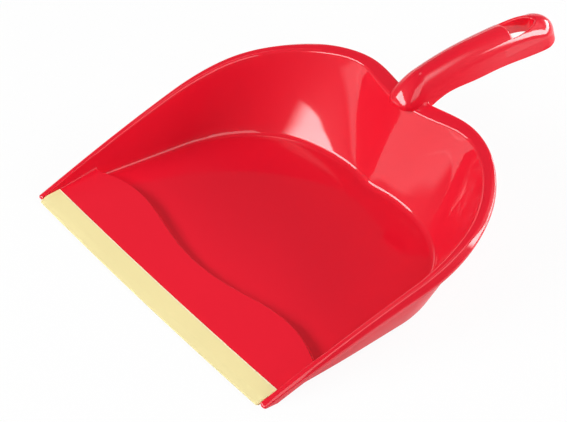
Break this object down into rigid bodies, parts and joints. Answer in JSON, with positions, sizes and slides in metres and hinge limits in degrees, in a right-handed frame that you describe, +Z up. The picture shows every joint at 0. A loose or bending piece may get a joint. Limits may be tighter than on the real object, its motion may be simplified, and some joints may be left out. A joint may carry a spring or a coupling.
{
  "type": "dustpan",
  "caption": "Hand dustpan: a heart-shaped moulded basin with a wavy ramp, a rolled rim and a short arched handle with a hanging hole, and a rubber lip pushed onto its front edge.",
  "frame": {"origin": "on the floor, under the centre of the part's bounding box", "axes": "+X across the mouth, +Y from the lip back to the end of the handle, +Z up from the floor"},
  "size_m": [0.2556, 0.3224, 0.0815],
  "materials": {
    "pan": "gloss",
    "lip": "matte"
  },
  "bodies": {
    "pan": {"pan": "pan"},
    "lip": {"lip": "lip"}
  },
  "joints": [
    {"name": "lip_flex", "type": "hinge", "parent": "pan", "child": "lip", "pos_m": [0, -0.1546, 0.0016], "axis": [-1, 0, 0], "range_deg": [0, 15], "stiffness_Nm_per_rad": 0.2, "deforming": ["lip"]}
  ]
}
